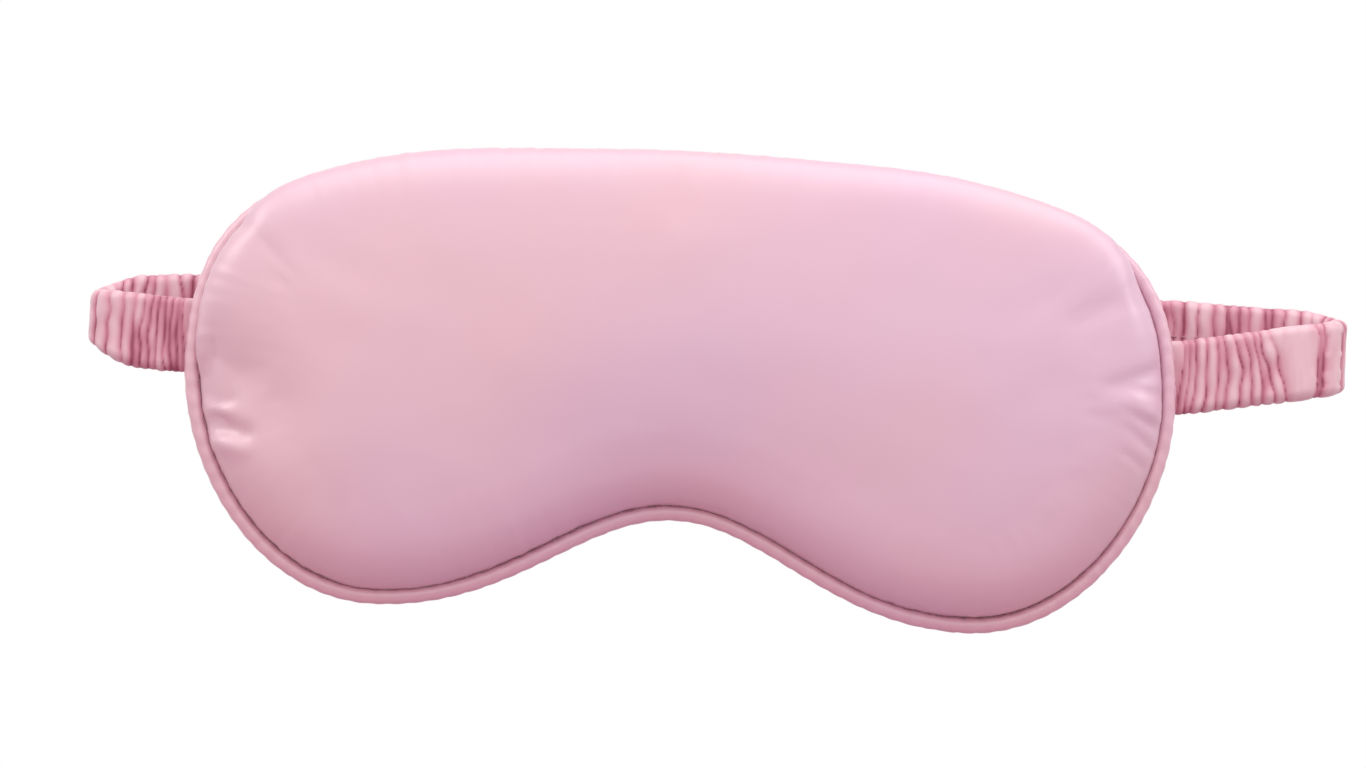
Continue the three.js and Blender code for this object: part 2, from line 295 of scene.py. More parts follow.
def from_edge(points):
    """For (x, z) points: distance inwards from the piped edge, and the nearest edge point."""
    gaps = np.linalg.norm(points[:, None, :] - edge[None, :, :], axis=2)
    nearest = gaps.argmin(axis=1)
    inwards = ((edge[nearest] - points) * outward[nearest]).sum(axis=1)
    return np.maximum(inwards, 0), nearest


# ---- Mesh helpers ----

def new_piece(name, points, faces):
    mesh = bpy.data.meshes.new(name)
    mesh.from_pydata([tuple(p) for p in points], [], faces)
    mesh.validate()
    piece = bpy.data.objects.new(name, mesh)
    bpy.context.scene.collection.objects.link(piece)
    return piece


def only(piece):
    """Leaves piece as the one selected and active object."""
    bpy.ops.object.select_all(action="DESELECT")
    piece.select_set(True)
    bpy.context.view_layer.objects.active = piece


def recalculate_normals(piece):
    only(piece)
    bpy.ops.object.mode_set(mode="EDIT")
    bpy.ops.mesh.select_all(action="SELECT")
    bpy.ops.mesh.normals_make_consistent(inside=False)
    bpy.ops.object.mode_set(mode="OBJECT")


def apply_modifier(piece, kind, **settings):
    only(piece)
    modifier = piece.modifiers.new(kind.title(), kind)
    for key, value in settings.items():
        setattr(modifier, key, value)
    bpy.ops.object.modifier_apply(modifier=modifier.name)


def points_of(piece):
    points = np.zeros(len(piece.data.vertices) * 3)
    piece.data.vertices.foreach_get("co", points)
    return points.reshape(-1, 3)


def move_points(piece, points):
    piece.data.vertices.foreach_set("co", points.ravel())
    piece.data.update()


def vertex_normals(piece):
    normals = np.zeros(len(piece.data.vertices) * 3)
    piece.data.vertex_normals.foreach_get("vector", normals)
    return normals.reshape(-1, 3)


def smooth_step(value):
    value = np.clip(value, 0, 1)
    return value * value * (3 - 2 * value)


# ---- Padded panels ----

def stand_up(plan, y):
    """Points at (x, z) places and a depth y."""
    return np.column_stack([plan[:, 0], np.broadcast_to(y, len(plan)), plan[:, 1]])


def puffed_depth(inset, puff, crown):
    """Depth of a puffed panel at a distance inwards from its seam."""
    turn = np.sqrt(1 - (1 - np.clip(inset / PUFF_REACH, 0, 1)) ** 3)
    return RIM_DEPTH + (puff - RIM_DEPTH) * turn + crown * (1 - np.exp(-inset / CROWN_REACH))


def panel_surface(name, side, puff, overhang, crown):
    """Open dome over the outline: a rounded border and a crowned middle.

    side is -1 for the front and 1 for the face side. overhang is how far the puffed border
    stands out over the seam at each edge point.
    """
    count = len(edge)
    rings = []
    for k in range(BORDER_RINGS):
        share = k / (BORDER_RINGS - 1)
        inset = BORDER_WIDTH * share ** 1.7
        bulge = math.sin(math.pi * share ** 0.55)
        plan = edge - outward * np.reshape(SEAM_INSET + inset - overhang * bulge, (-1, 1))
        depth = puffed_depth(inset, puff, crown)
        rings.append(stand_up(plan, seam_y + side * depth))
    middle, middle_faces = fill_ring(rings[-1][:, [0, 2]])
    inset, _ = from_edge(middle)
    depth = puffed_depth(np.maximum(inset - SEAM_INSET, 0), puff, crown)
    middle = stand_up(middle, seam_y + side * depth)
    points = np.concatenate(rings + [middle[count:]])
    faces = [
        (r * count + i, r * count + (i + 1) % count,
         (r + 1) * count + (i + 1) % count, (r + 1) * count + i)
        for r in range(BORDER_RINGS - 1) for i in range(count)
    ]
    first = (BORDER_RINGS - 1) * count
    faces += [tuple(first + v for v in face) for face in middle_faces]
    piece = new_piece(name, points, faces)
    inwards, _ = from_edge(points[:, [0, 2]])
    soften(piece, inwards, 40)
    recalculate_normals(piece)
    outer = piece.data.polygons[len(piece.data.polygons) // 2].normal.y
    if outer * side < 0:
        piece.data.flip_normals()
    return piece


def fill_ring(ring):
    """Points and triangles that fill a ring of (x, z) points: the ring itself comes first."""
    count = len(ring)
    gap = edge_step * 1.05
    low, high = ring.min(axis=0), ring.max(axis=0)
    rows = np.arange(low[1], high[1], gap * math.sqrt(0.75))
    columns = np.arange(low[0], high[0], gap)
    inner = np.array([(x + gap / 2 * (r % 2), z) for r, z in enumerate(rows) for x in columns])
    nearest = np.linalg.norm(inner[:, None, :] - ring[None, :, :], axis=2).min(axis=1)
    inner = inner[nearest > 0.7 * gap]
    points = [Vector(p) for p in np.concatenate([ring, inner])]
    border = [(i, (i + 1) % count) for i in range(count)]
    made, _, faces, origin, _, _ = delaunay_2d_cdt(points, border, [tuple(range(count))], 1, 1e-7)
    made = np.array([tuple(p) for p in made])
    kept = sorted({v for face in faces for v in face}, key=lambda v: (min(origin[v]), v))
    place = {v: i for i, v in enumerate(kept)}
    return made[kept], [tuple(place[v] for v in face) for face in faces]


def soften(piece, inwards, times):
    """Evens out the depth of the cloth, more and more away from the seam."""
    group = piece.vertex_groups.new(name="middle")
    for i, weight in enumerate(smooth_step((inwards - STILL_BORDER) / SOFT_BORDER)):
        group.add([i], weight, "REPLACE")
    apply_modifier(piece, "SMOOTH", factor=0.6, iterations=times, use_x=False, use_z=False,
                   vertex_group="middle")
    piece.vertex_groups.clear()


def inflate(piece, pressure, most):
    """Cloth under pressure, held at the seam, with each point's travel capped."""
    start = points_of(piece)
    inwards, _ = from_edge(start[:, [0, 2]])
    held = piece.vertex_groups.new(name="seam")
    held.add(list(range(EDGE_POINTS)), 1.0, "REPLACE")
    only(piece)
    cloth = piece.modifiers.new("Cloth", "CLOTH")
    settings = cloth.settings
    settings.quality = 6
    settings.mass = 0.15
    settings.tension_stiffness = 12
    settings.compression_stiffness = 12
    settings.shear_stiffness = 6
    settings.bending_stiffness = 1.5
    settings.vertex_group_mass = "seam"
    settings.use_pressure = True
    settings.uniform_pressure_force = pressure
    settings.effector_weights.gravity = 0
    cloth.point_cache.frame_start, cloth.point_cache.frame_end = 1, CLOTH_FRAMES
    for step in range(1, CLOTH_FRAMES + 1):
        bpy.context.scene.frame_set(step)
    bpy.ops.object.modifier_apply(modifier=cloth.name)
    bpy.context.scene.frame_set(1)
    moved = points_of(piece) - start
    travel = np.linalg.norm(moved, axis=1)
    scale = np.minimum(1, most / np.maximum(travel, 1e-9))
    move_points(piece, start + moved * scale[:, None])
    piece.vertex_groups.clear()
    soften(piece, inwards, 8)


def make_front():
    """Front panel, which bulges over its seam at the top and at the left."""
    top = TOP_OVERHANG * smooth_step((outward[:, 1] - 0.45) / 0.45)
    left = LEFT_OVERHANG * smooth_step((outward[:, 1] + 0.12) / 0.2) * (edge[:, 0] < 0)
    overhang = np.maximum(top, left) + LEAST_OVERHANG
    piece = panel_surface("front_satin", -1, front_puff - FRONT_ROOM, overhang, FRONT_CROWN)
    inflate(piece, pressure=2.0, most=FRONT_SWELL)
    return piece


def make_back():
    """Flatter panel against the face."""
    overhang = np.full(len(edge), BACK_OVERHANG)
    piece = panel_surface("face_side_satin", 1, back_puff - BACK_ROOM, overhang, BACK_CROWN)
    inflate(piece, pressure=1.2, most=BACK_SWELL)
    return piece


# ---- Shaping the puffed satin ----

def pinch(points, normals, start, end, width, depth):
    """Presses a crease between two (x, z) places in millimetres. A negative depth lifts a fold."""
    a, b = np.array(start) * MM, np.array(end) * MM
    line = b - a
    plan = points[:, [0, 2]]
    t = np.clip(((plan - a) @ line) / (line @ line), 0, 1)
    off = np.linalg.norm(plan - a - t[:, None] * line, axis=1)
    fade = np.exp(-(off / (width * MM)) ** 2) * (1 - 0.55 * t)
    points -= normals * (depth * MM * fade)[:, None]


def noise_at(points, size, seed):
    """Smooth noise, about -1 to 1, with features of that size in metres."""
    offset = Vector((seed * 7.3, seed * 3.1, seed * 5.7))
    return np.array([noise.noise(Vector(p) / size + offset) for p in points])


def pucker_seam(points, normals, pitch, depth, seed):
    """Small needle puckers across the seam, which fade out towards the middle."""
    inwards, nearest = from_edge(points[:, [0, 2]])
    along = nearest * edge_step
    wave = np.array([noise.noise(Vector((s / pitch, 4.1 * seed, 0))) for s in along])
    fade = np.exp(-np.maximum(inwards - SEAM_INSET, 0) / (4.5 * MM))
    points += normals * (depth * wave * fade)[:, None]


def clear_of_piping(points, side):
    """Pushes points out of the piping."""
    inwards, _ = from_edge(points[:, [0, 2]])
    depth = (points[:, 1] - seam_y) * side
    across = inwards - piping_radius
    keep = piping_radius + PIPING_GAP
    inside = (np.hypot(across, depth) < keep) & (inwards < SEAM_INSET)
    points[inside, 1] = seam_y + side * np.sqrt(np.maximum(keep ** 2 - across[inside] ** 2, 0))


def clear_of_filling(points, side, puff):
    """Keeps the satin outside its filling."""
    inwards, _ = from_edge(points[:, [0, 2]])
    share = np.clip((inwards - FILLING_EDGE) / FILLING_ROUND, 0, 1)
    least = SLACK * puff * np.sqrt(1 - (1 - share) ** 2)
    depth = np.maximum((points[:, 1] - seam_y) * side, least)
    points[:, 1] = seam_y + side * depth


def make_filling(name, node, side):
    """Wadding a little slacker than the panel over it: a copy of the solid in the frame, thinned."""
    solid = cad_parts[node].data
    piece = new_piece(name, [v.co for v in solid.vertices], [tuple(p.vertices) for p in solid.polygons])
    only(piece)
    bpy.ops.object.mode_set(mode="EDIT")
    bpy.ops.mesh.select_all(action="SELECT")
    bpy.ops.mesh.remove_doubles(threshold=0.01 * MM)
    bpy.ops.object.mode_set(mode="OBJECT")
    points = points_of(piece)
    _, nearest = from_edge(points[:, [0, 2]])
    points[:, [0, 2]] -= outward[nearest] * FILLING_GAP
    depth = points[:, 1] - seam_y
    points[:, 1] = seam_y + depth * np.where(depth * side > 1 * MM, SLACK, 1)
    move_points(piece, points)
    recalculate_normals(piece)
    only(piece)
    bpy.ops.object.shade_smooth_by_angle(angle=math.radians(35))
    return piece


def finish_panel(piece):
    """Gives the satin its thickness, inwards, and smooth shading."""
    apply_modifier(piece, "SOLIDIFY", thickness=SATIN_THICKNESS, offset=-1, use_even_offset=False)
    only(piece)
    bpy.ops.object.shade_smooth()


# Creases of the front satin: from, to (x, z in mm), width in mm, depth in mm.
FRONT_CREASES = [
    ((-100.0, -2.5), (-88.0, -9.0), 10.0, 3.0),
    ((-99.6, -6.6), (-94.0, -8.4), 1.4, 1.4),
    ((-98.6, -10.4), (-94.5, -11.2), 1.3, -0.7),
    ((-98.0, -13.2), (-90.5, -15.8), 1.9, 2.3),
    ((-96.6, -17.2), (-90.8, -18.6), 2.2, -1.2),
    ((101.5, 8.0), (90.0, 3.0), 1.9, 0.8),
    ((101.8, 2.4), (94.0, 2.8), 1.0, 0.5),
    ((101.5, -2.0), (88.0, 0.5), 2.6, -0.6),
    ((100.2, -5.0), (93.0, -1.5), 1.1, 0.5),
    ((99.4, -9.5), (93.5, -5.5), 0.9, 0.4),
    ((98.0, -14.0), (92.8, -10.5), 0.9, 0.35),
]


def waves(points, normals, height, size, seed):
    """Soft unevenness of the puffed satin."""
    points += normals * (height * noise_at(points, size, seed))[:, None]


def shape_front(piece):
    """Unevenness, needle puckers and creases of the front, then its thickness."""
    apply_modifier(piece, "SUBSURF", levels=1, render_levels=1)
    points = points_of(piece)
    normals = vertex_normals(piece)
    waves(points, normals, height=0.34 * MM, size=30 * MM, seed=1)
    waves(points, normals, height=0.07 * MM, size=9 * MM, seed=4)
    pucker_seam(points, normals, pitch=2.6 * MM, depth=0.17 * MM, seed=1)
    inwards, _ = from_edge(points[:, [0, 2]])
    free = smooth_step((inwards - SEAM_INSET + 0.6 * MM) / (2.6 * MM))
    creased = points.copy()
    for start, end, width, depth in FRONT_CREASES:
        pinch(creased, normals, start, end, width, depth)
    points += (creased - points) * free[:, None]
    clear_of_piping(points, -1)
    clear_of_filling(points, -1, front_puff)
    move_points(piece, points)
    finish_panel(piece)


def shape_back(piece):
    """Unevenness and needle puckers of the face side, then its thickness."""
    apply_modifier(piece, "SUBSURF", levels=1, render_levels=1)
    points = points_of(piece)
    normals = vertex_normals(piece)
    waves(points, normals, height=0.14 * MM, size=22 * MM, seed=2)
    pucker_seam(points, normals, pitch=3.1 * MM, depth=0.16 * MM, seed=2)
    clear_of_piping(points, 1)
    clear_of_filling(points, 1, back_puff)
    move_points(piece, points)
    finish_panel(piece)


# ---- Piping ----

def make_piping():
    """Satin strip folded round its cord, with its flat double edge reaching into the seam."""
    turns = np.linspace(TAIL_OPENING, 2 * math.pi - TAIL_OPENING, 21)
    tube_part = [(piping_radius * (1 + math.cos(a)), piping_radius * math.sin(a)) for a in turns]
    tail = TAIL_THICKNESS / 2
    section = [(TAIL_INSET, tail), (TAIL_BEND, tail)] + tube_part
    section += [(TAIL_BEND, -tail), (TAIL_INSET, -tail)]
    stations = 2 * EDGE_POINTS
    line, out = mask_outline(stations)
    along = np.arange(stations) * edge_step / 2
    twist = np.array([noise.noise(Vector((s / (3.4 * MM), 0, 9.0))) for s in along])
    slack = np.array([noise.noise(Vector((s / (38 * MM), 0, 3.0))) for s in along])
    rows = []
    for j, (inset, depth) in enumerate(section):
        lean = along + 1.3 * depth
        ripple = RIPPLE_HEIGHT * np.sin(2 * math.pi * lean / RIPPLE_PITCH + 2.5 * twist)
        on_tube = 1.0 if inset < TAIL_BEND else 0.0
        scale = 1 + on_tube * (ripple + 0.05 * MM * twist + 0.06 * MM * slack) / piping_radius
        inward = piping_radius + (inset - piping_radius) * scale
        plan = line - out * inward[:, None]
        rows.append(stand_up(plan, seam_y - depth * scale))
    points = np.stack(rows, axis=1).reshape(-1, 3)
    count = len(section)
    faces = [
        (i * count + j, i * count + (j + 1) % count,
         ((i + 1) % stations) * count + (j + 1) % count, ((i + 1) % stations) * count + j)
        for i in range(stations) for j in range(count)
    ]
    piece = new_piece("satin_piping", points, faces)
    recalculate_normals(piece)
    only(piece)
    bpy.ops.object.shade_smooth()
    return piece


# ---- Strap ----

# Gathers of the band in front of each fold: place beyond the mask's edge, lean from the lower to
# the upper edge, bow at the middle, and how much of the crease is lost at the top, in mm.
RIGHT_GATHERS = [
    (0.7, 0.6, 0.6, 0.0), (2.3, 0.5, 0.5, 0.5), (3.7, 0.4, 0.5, 0.0), (6.2, 0.2, 0.7, 0.0),
    (8.4, -0.2, 0.8, 0.3), (10.3, -0.8, 1.0, 0.0), (13.0, -1.6, 1.2, 0.2), (15.4, -2.6, 1.0, 0.5),
    (17.4, -3.2, 0.6, 0.2), (19.5, -4.2, 0.3, 0.0), (22.0, -4.6, 0.2, 0.75), (29.7, -0.2, 0.2, 0.6),
    (31.3, 0.0, 0.1, 0.0), (35.6, 0.2, 0.0, 0.1),
]
LEFT_GATHERS = [
    (0.4, 0.3, 0.3, 0.0), (1.6, 0.2, 0.4, 0.3), (2.9, 0.1, 0.4, 0.0), (4.4, 0.1, 0.5, 0.4),
    (5.9, -0.2, 0.5, 0.0), (7.6, -0.4, 0.5, 0.0), (9.4, -0.4, 0.4, 0.1), (11.3, -0.3, 0.3, 0.5),
    (13.3, -0.2, 0.2, 0.1), (16.2, 0.0, 0.1, 0.3), (19.5, 0.0, 0.0, 0.0),
]


def strap_line(loop, step):
    """Centres, outward directions and thicknesses along one half of the strap, from its sewn end
    to the middle of the back."""
    piping_back = seam_y + piping_radius + STRAP_CLEARANCE
    front_y_band = piping_back + STRAP_THICKNESS / 2
    back_y_band = strap_high.y - STRAP_THICKNESS / 2
    radius = (back_y_band - front_y_band) / 2
    fold_x = loop["reach"] - STRAP_THICKNESS / 2 - radius
    end_y = piping_back + 1.1 * MM
    sewn, fold_front, fold_back, behind = loop["heights"]
    middle = (RIGHT_LOOP["heights"][3] + LEFT_LOOP["heights"][3]) / 2
    line = []
    for x in np.linspace(half_width - TAIL_INSET, fold_x, 120):
        settle = smooth_step((x - half_width + 1 * MM) / SEAM_EASE)
        up = np.clip((x - half_width) / (fold_x - half_width), 0, 1)
        line.append((x, end_y + (front_y_band - end_y) * settle, sewn + (fold_front - sewn) * up))
    for angle in np.linspace(0, math.pi, 60)[1:]:
        y = front_y_band + (back_y_band - front_y_band) * (1 - math.cos(angle)) / 2
        height = fold_front + (fold_back - fold_front) * angle / math.pi
        line.append((fold_x + radius * math.sin(angle), y, height))
    for x in np.linspace(fold_x, 0, 160)[1:]:
        height = np.interp(x, (0, half_width, fold_x), (middle, behind, fold_back))
        line.append((x, back_y_band, height))
    count = int(round(sum(math.dist(a, b) for a, b in zip(line, line[1:])) / step))
    line = even_points(line, count)
    blur = max(3, int(BAND_EASE / step)) | 1
    inner = slice(blur // 2, len(line) - blur // 2)
    for axis in (1, 2):
        line[inner, axis] = np.convolve(line[:, axis], np.ones(blur) / blur, mode="valid")
    along = np.gradient(line, axis=0)
    along[-1] = (-1, 0, 0)
    along[:, 2] = 0
    along /= np.linalg.norm(along, axis=1)[:, None]
    outwards = np.column_stack([along[:, 1], -along[:, 0], np.zeros(len(line))])
    reach = np.arange(len(line)) * step - TAIL_INSET
    ease = smooth_step((reach + 1 * MM) / SEAM_EASE)
    thickness = STRAP_END_THICKNESS + (STRAP_THICKNESS - STRAP_END_THICKNESS) * ease
    return line, outwards, reach, thickness


def band_section(width, thickness, corner, flats, turns):
    """Section of a band all round: (across, outwards) places, then their outward directions."""
    flat, half = width / 2 - corner, thickness / 2
    ring = []
    for face in (1, -1):
        for k in range(flats):
            ring.append((face * flat * (1 - 2 * k / flats), face * half, 0, face))
        for k in range(turns):
            angle = math.pi * k / turns
            place = (-face * (flat + corner * math.sin(angle)), face * half * math.cos(angle))
            ring.append(place + (-face * math.sin(angle), face * math.cos(angle)))
    return np.array(ring)


def gather_lines(gathers, length, seed):
    """Crease lines all along a half strap: the given ones, then evenly random ones to its end."""
    draw = np.random.default_rng(seed)
    lines = [(-TAIL_INSET, 0, 0, 0, 0, 1.0)]
    lines += [(p * MM, lean * MM, bow * MM, bow * MM * 0.3, lost, 1.0) for p, lean, bow, lost in gathers]
    place = lines[-1][0]
    while place < length - 2 * FOLD_MOST:
        place += draw.uniform(FOLD_LEAST, FOLD_MOST)
        lost = draw.uniform(0.4, 0.95) * draw.choice([1, -1]) if draw.random() < 0.5 else 0.0
        lines.append((place, draw.uniform(-0.9, 0.9) * MM, draw.uniform(-0.6, 0.6) * MM,
                      draw.uniform(-0.6, 0.6) * MM, lost, draw.uniform(0.75, 1.15)))
    lines.append(((place + length) / 2, 0, 0, 0, 0, 1.0))
    lines.append((length, 0, 0, 0, 0, 1.0))
    return np.array(lines)


def fold_height(lines, reach, across, share):
    """Height of the gathers at one line of the section: 0 in a crease, about 1 on a fold.

    share is 1 on the outer face of the band and 0 on its inner face.
    """
    v = across / (STRAP_WIDTH / 2)
    bow = lines[:, 3] + (lines[:, 2] - lines[:, 3]) * share
    height = across / (4.5 * MM)
    sway = np.array([noise.noise(Vector((k * 1.7, height, share * 0.6))) for k in range(len(lines))])
    sway = sway * FOLD_SWAY * np.minimum(1, np.abs(lines[:, 0] - lines[-1, 0]) / (4 * MM))
    places = lines[:, 0] + lines[:, 1] * v / 2 + bow * (1 - v * v) + sway
    places = np.maximum.accumulate(places + np.arange(len(places)) * 1e-7)
    k = np.clip(np.searchsorted(places, reach, side="right") - 1, 0, len(places) - 2)
    gap = np.maximum(places[k + 1] - places[k], 1e-6)
    phase = np.clip((reach - places[k]) / gap, 0, 1) ** (0.75 + 0.6 * ((k * 0.618) % 1))
    size = np.clip(gap / (2.6 * MM), 0.35, 1.15) * lines[k, 5]
    power = np.where(gap > 4.5 * MM, 0.28, 0.68)
    top, low = smooth_step(v + 0.2), smooth_step(0.2 - v)
    lost = np.where(lines[:, 4] >= 0, lines[:, 4] * top, -lines[:, 4] * low)
    floor = size * (lost[k] * (1 - phase) + lost[k + 1] * phase) * 0.8
    return floor + (size - floor) * (4 * phase * (1 - phase)) ** power


def tube(name, rings, centre):
    """Tube through rings of points, facing away from centre, a point inside its first ring."""
    stations, count = rings.shape[:2]
    faces = [
        (i * count + j, i * count + (j + 1) % count,
         (i + 1) * count + (j + 1) % count, (i + 1) * count + j)
        for i in range(stations - 1) for j in range(count)
    ]
    piece = new_piece(name, rings.reshape(-1, 3), faces)
    first = piece.data.polygons[0]
    if first.normal.dot(first.center - Vector(centre)) < 0:
        piece.data.flip_normals()
    return piece


def make_strap_cover(loop, gathers, seed):
    """Half of the gathered satin cover, from its sewn end to the middle of the back."""
    name = "right" if loop["side"] > 0 else "left"
    line, outwards, reach, thickness = strap_line(loop, STRAP_STEP)
    lines = gather_lines(gathers, reach[-1], seed)
    half = STRAP_THICKNESS / 2 - GATHER_ROOM
    base = band_section(STRAP_WIDTH - 1.0 * MM, 2 * half, STRAP_EDGE, flats=22, turns=7)
    narrow = loop_narrowing(loop, line)
    rings = np.zeros((len(line), len(base), 3))
    folds = np.zeros((len(line), len(base)))
    ease = 0.35 + 0.65 * smooth_step((reach + 2 * MM) / (4 * MM))
    for j, (u, v, du, dv) in enumerate(base):
        height = fold_height(lines, reach, u, 0.5 + v / (2 * half))
        wobble = np.array([noise.noise(Vector((s / (9 * MM), u / (7 * MM), seed))) for s in reach])
        fine = np.array([noise.noise(Vector((s / (0.9 * MM), u / (5 * MM), seed + 5))) for s in reach])
        lift = (FOLD_HEIGHT * height * (1 + 0.5 * wobble) + FINE_HEIGHT * fine) * ease
        deep = v * (thickness - 2 * GATHER_ROOM) / (2 * half)
        up = narrow[:, 1] + u * narrow[:, 0] + du * lift * 0.45
        rings[:, j] = line + outwards * (deep + dv * lift)[:, None]
        rings[:, j, 2] += up
        folds[:, j] = height
    rings[:, :, 0] *= loop["side"]
    piece = tube(f"strap_satin_{name}", rings, line[0] * [loop["side"], 1, 1])
    # Fold height per point: the strap material turns it into painted shade in the creases and a painted
    # lighter tone on the folds.
    attribute = piece.data.attributes.new("fold", "FLOAT", "POINT")
    attribute.data.foreach_set("value", folds.ravel().astype(np.float32))
    apply_modifier(piece, "SOLIDIFY", thickness=COVER_CLOTH, offset=-1)
    only(piece)
    bpy.ops.object.shade_smooth()
    return piece


def loop_narrowing(loop, line):
    """How much of its width the band keeps along the loop, and how far its middle moves up."""
    fold_x = loop["reach"]
    near = np.clip((line[:, 0] - (fold_x - loop["round"])) / loop["round"], 0, 1)
    near = 1 - np.sqrt(1 - near ** 2)
    return np.column_stack([1 - loop["narrow"] * near, loop["lift"] * near])


def make_elastic(loop):
    """Half of the flat elastic band inside the cover."""
    name = "right" if loop["side"] > 0 else "left"
    line, outwards, _, _ = strap_line(loop, ELASTIC_STEP)
    base = band_section(ELASTIC_WIDTH, ELASTIC_THICKNESS, 0.3 * MM, flats=12, turns=3)
    narrow = loop_narrowing(loop, line)
    rings = np.zeros((len(line), len(base), 3))
    for j, (u, v, _, _) in enumerate(base):
        rings[:, j] = line + outwards * v
        rings[:, j, 2] += narrow[:, 1] + u * narrow[:, 0]
    rings[:, :, 0] *= loop["side"]
    piece = tube(f"elastic_{name}", rings, line[0] * [loop["side"], 1, 1])
    only(piece)
    bpy.ops.object.mode_set(mode="EDIT")
    bpy.ops.mesh.select_all(action="SELECT")
    bpy.ops.mesh.select_non_manifold()
    bpy.ops.mesh.fill_holes(sides=0)
    bpy.ops.object.mode_set(mode="OBJECT")
    only(piece)
    bpy.ops.object.shade_smooth_by_angle(angle=math.radians(35))
    return piece


def across_joint(piece):
    """Bakes the piece's placing into its points."""
    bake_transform(piece)


# ---- Stitches ----

def one_stitch(length, diameter):
    """A sewn stitch: a short thread that dips into the cloth at both ends."""
    bpy.ops.object.select_all(action="DESELECT")
    bpy.ops.mesh.primitive_uv_sphere_add(segments=8, ring_count=8, radius=1, location=(0, 0, 0))
    stitch = bpy.context.object
    points = points_of(stitch)
    faces = [tuple(p.vertices) for p in stitch.data.polygons]
    bpy.data.objects.remove(stitch)
    s = points[:, 2]
    full = np.sign(s) * np.abs(s) ** 0.8
    waist = 1 - 0.25 * np.abs(full) ** 3
    width = points[:, 0] * diameter / 2 * waist
    height = points[:, 1] * diameter / 2 * waist - 0.5 * diameter * full ** 4
    return np.column_stack([full * length / 2, height, width]), faces


def sew(name, places, directions, normals, length, diameter):
    """Copies of one stitch at places, along directions, standing on normals, as one piece."""
    shape, faces = one_stitch(length, diameter)
    points, all_faces = [], []
    for place, along, up in zip(places, directions, normals):
        along = along / np.linalg.norm(along)
        side = np.cross(along, up)
        points.append(place + shape[:, :1] * along + shape[:, 1:2] * up + shape[:, 2:] * side)
        first = len(all_faces) // len(faces) * len(shape)
        all_faces += [tuple(v + first for v in face) for face in faces]
    piece = new_piece(name, np.concatenate(points), all_faces)
    recalculate_normals(piece)
    only(piece)
    bpy.ops.object.shade_smooth()
    return piece


def ring_places(inset, depth, pitch):
    """Evenly spaced places round the mask at an inset from the edge."""
    length = edge_step * EDGE_POINTS
    count = int(length / pitch)
    line, out = mask_outline(2 * (count // 2))
    plan = line - out * inset
    places = stand_up(plan, seam_y + depth)
    return places, np.roll(places, -1, axis=0) - np.roll(places, 1, axis=0), out


def make_edge_stitches():
    """Machine seam in the groove between the front and the piping."""
    places, along, out = ring_places(inset=3.05 * MM, depth=-0.9 * MM, pitch=2.9 * MM)
    up = stand_up(out * 0.5, -0.87)
    return sew("edge_stitches", places, along, up, length=2.5 * MM, diameter=0.34 * MM)


def make_gap_stitches():
    """Slanted hand stitches that close the turning gap at the top of the face side."""
    places, along, out = ring_places(inset=3.25 * MM, depth=0.95 * MM, pitch=2.1 * MM)
    top = (np.abs(places[:, 0]) < TURNING_GAP / 2) & (places[:, 2] > 0)
    up = stand_up(out * 0.5, 0.87)
    lean = along / np.linalg.norm(along, axis=1)[:, None] + 0.45 * stand_up(out, 0)
    return sew("closing_stitches", places[top], lean[top], up[top],
               length=1.7 * MM, diameter=0.42 * MM)


def make_strap_stitches(loop):
    """Long seam of the strap's cover, on the inner face of the band."""
    name = "right" if loop["side"] > 0 else "left"
    line, outwards, _, _ = strap_line(loop, step=2.6 * MM)
    inner = line - outwards * (STRAP_THICKNESS / 2 - 0.05 * MM)
    inner[:, 2] += loop_narrowing(loop, line)[:, 1]
    along = np.gradient(line, axis=0)
    up = -outwards
    inner, along, up = (v * [loop["side"], 1, 1] for v in (inner, along, up))
    keep = slice(3, len(line) - 1)
    return sew(f"strap_stitches_{name}", inner[keep], along[keep], up[keep],
               length=2.1 * MM, diameter=0.4 * MM)


# ---- Materials ----

def object_noise(tree, place, size, detail=2.0):
    """Noise on object coordinates with features of that size in metres."""
    inputs = {"Scale": 1 / size, "Detail": detail}
    return add_node(tree, "ShaderNodeTexNoise", inputs=inputs, links={"Vector": place})


def new_material(name, **values):
    """Material with constant shader values, and its tree, shader and object coordinates."""
    material = bpy.data.materials.new(name)
    material.use_nodes = True
    tree = material.node_tree
    shader = tree.nodes["Principled BSDF"]
    for key, value in values.items():
        shader.inputs[key.replace("_", " ")].default_value = value
    place = add_node(tree, "ShaderNodeTexCoord").outputs["Object"]
    return material, tree, shader, place


def add_bump(tree, shader, height, depth, strength):
    """Relief of a depth in metres."""
    bump = add_node(tree, "ShaderNodeBump", inputs={"Distance": depth, "Strength": strength},
                    links={"Height": height})
    tree.links.new(bump.outputs["Normal"], shader.inputs["Normal"])


def stretched(tree, place, scale):
    """Coordinates in which a pattern is drawn longer along the axes whose scale is small."""
    settings = {"vector_type": "POINT"}
    mapping = add_node(tree, "ShaderNodeMapping", settings, {"Scale": scale}, {"Vector": place})
    return mapping.outputs["Vector"]


